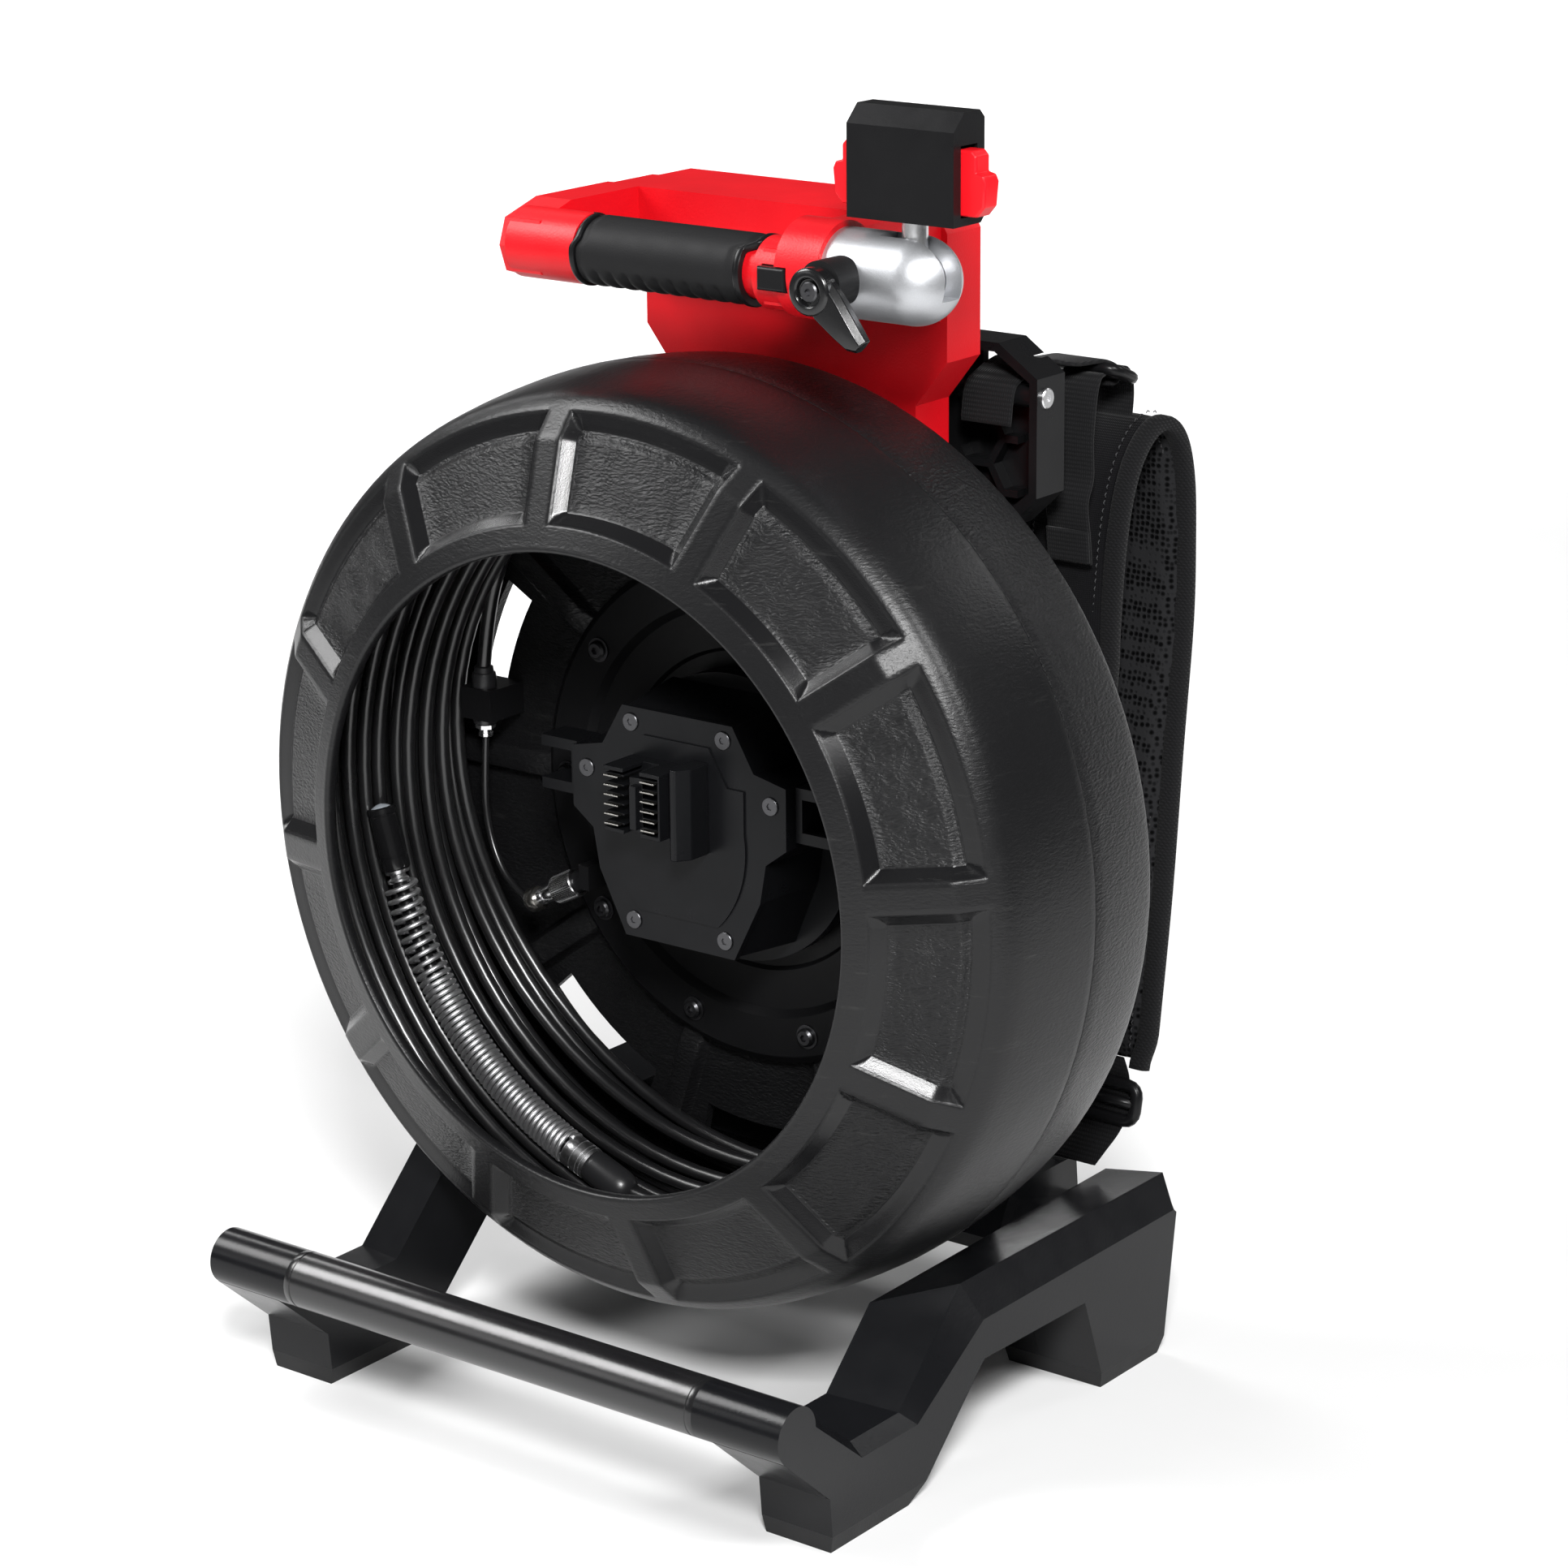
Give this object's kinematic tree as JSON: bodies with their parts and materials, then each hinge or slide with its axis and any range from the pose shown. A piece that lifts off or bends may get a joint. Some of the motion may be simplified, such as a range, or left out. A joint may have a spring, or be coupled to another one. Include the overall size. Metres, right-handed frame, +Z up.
{
  "type": "pipe inspection camera reel",
  "caption": "Backpack reel for a pipe inspection camera: an open-faced turning drum of push cable on a black stand, with a red handle housing, a ball mount and shoulder straps.",
  "frame": {"origin": "on the floor below the middle of the whole reel", "axes": "+Z up, the open face of the drum looks along -Y, +X to the right seen from the open face"},
  "size_m": [0.508, 0.447, 0.708],
  "materials": {
    "stand_plastic": "satin",
    "foot_rubber": "matte",
    "drum_plastic": "leather grain",
    "screw_steel": "dark zinc",
    "axle_steel": "turned",
    "hub_plastic": "satin",
    "contact_metal": "nickel plated",
    "cable_jacket": "smooth jacket",
    "spring_steel": "bright",
    "head_metal": "smooth",
    "lens_glass": "clear",
    "chrome_metal": "bright",
    "connector_plastic": "satin",
    "housing_red": "fine texture",
    "button_plastic": "satin",
    "grip_rubber": "matte",
    "trim_plastic": "satin",
    "latch_red": "satin",
    "socket_aluminium": "bead blasted",
    "ball_steel": "satin",
    "bracket_plastic": "satin",
    "pad_fabric": "woven face, mesh back",
    "webbing": "ribbed weave"
  },
  "bodies": {
    "stand": {"rail_left": "stand_plastic", "rail_right": "stand_plastic", "front_bar": "stand_plastic", "foot_pads_front": "foot_rubber", "foot_pads_rear": "foot_rubber", "rear_cross_member": "stand_plastic", "back_upright": "stand_plastic", "axle": "axle_steel", "bearing_ring": "axle_steel", "hub_tower": "hub_plastic", "guide_arms": "hub_plastic", "hub_plate": "hub_plastic", "cover_insert": "hub_plastic", "terminal_block": "hub_plastic", "terminal_blades": "contact_metal", "hub_screws": "screw_steel", "housing": "housing_red", "handle_grip": "grip_rubber", "grip_trims": "trim_plastic", "mount_socket": "socket_aluminium", "lever_sleeve": "grip_rubber", "strap_bracket": "bracket_plastic", "bracket_honeycomb": "bracket_plastic", "strap_rods": "trim_plastic", "rod_screws": "screw_steel", "shoulder_pad_left": "pad_fabric", "shoulder_pad_right": "pad_fabric", "web_loops": "webbing", "web_tails": "webbing", "top_buckles": "trim_plastic", "lower_buckles": "trim_plastic", "lower_webs": "webbing"},
    "drum": {"drum_front_shell": "drum_plastic", "drum_rear_shell": "drum_plastic", "hub_ring": "drum_plastic", "ring_screws": "screw_steel", "cable_coil": "cable_jacket", "camera_spring": "spring_steel", "camera_collar": "spring_steel", "camera_head": "head_metal", "camera_lens": "lens_glass", "spring_ferrule": "spring_steel", "cable_boot": "cable_jacket", "cable_tail": "cable_jacket", "cable_lead_in": "cable_jacket", "signal_lead": "cable_jacket", "cable_clamp": "drum_plastic", "cable_sleeve": "cable_jacket", "cable_nut": "chrome_metal", "connector_gland": "connector_plastic", "connector_body": "chrome_metal", "connector_nut": "connector_plastic", "slip_ring_socket": "drum_plastic"},
    "lever": {"clamp_lever": "trim_plastic", "lever_screw": "screw_steel"},
    "ball": {"ball_stud": "ball_steel"},
    "block": {"mount_block": "trim_plastic"},
    "left_latch": {"latch_left": "latch_red"},
    "right_latch": {"latch_right": "latch_red"},
    "button": {"push_button": "button_plastic"}
  },
  "joints": [
    {"name": "drum_spin", "type": "hinge", "parent": "stand", "child": "drum", "pos_m": [0, -0.0377, 0.3097], "axis": [0, 1, 0], "continuous": true},
    {"name": "lever_turn", "type": "hinge", "parent": "stand", "child": "lever", "pos_m": [0.1205, -0.094, 0.621], "axis": [0, 1, 0], "range_deg": [-100, 60]},
    {"name": "ball_tilt", "type": "hinge", "parent": "stand", "child": "ball", "pos_m": [0.15, -0.048, 0.623], "axis": [0, 1, 0], "range_deg": [-8, 90]},
    {"name": "block_pan", "type": "hinge", "parent": "ball", "child": "block", "pos_m": [0.15, -0.048, 0.66], "axis": [0, 0, 1], "range_deg": [-180, 180]},
    {"name": "left_latch_press", "type": "slide", "parent": "block", "child": "left_latch", "axis": [1, 0, 0], "range_m": [0, 0.0035], "stiffness_N_per_m": 500},
    {"name": "right_latch_press", "type": "slide", "parent": "block", "child": "right_latch", "axis": [-1, 0, 0], "range_m": [0, 0.0035], "stiffness_N_per_m": 500},
    {"name": "button_press", "type": "slide", "parent": "stand", "child": "button", "axis": [0, 1, 0], "range_m": [0, 0.002], "stiffness_N_per_m": 400}
  ]
}
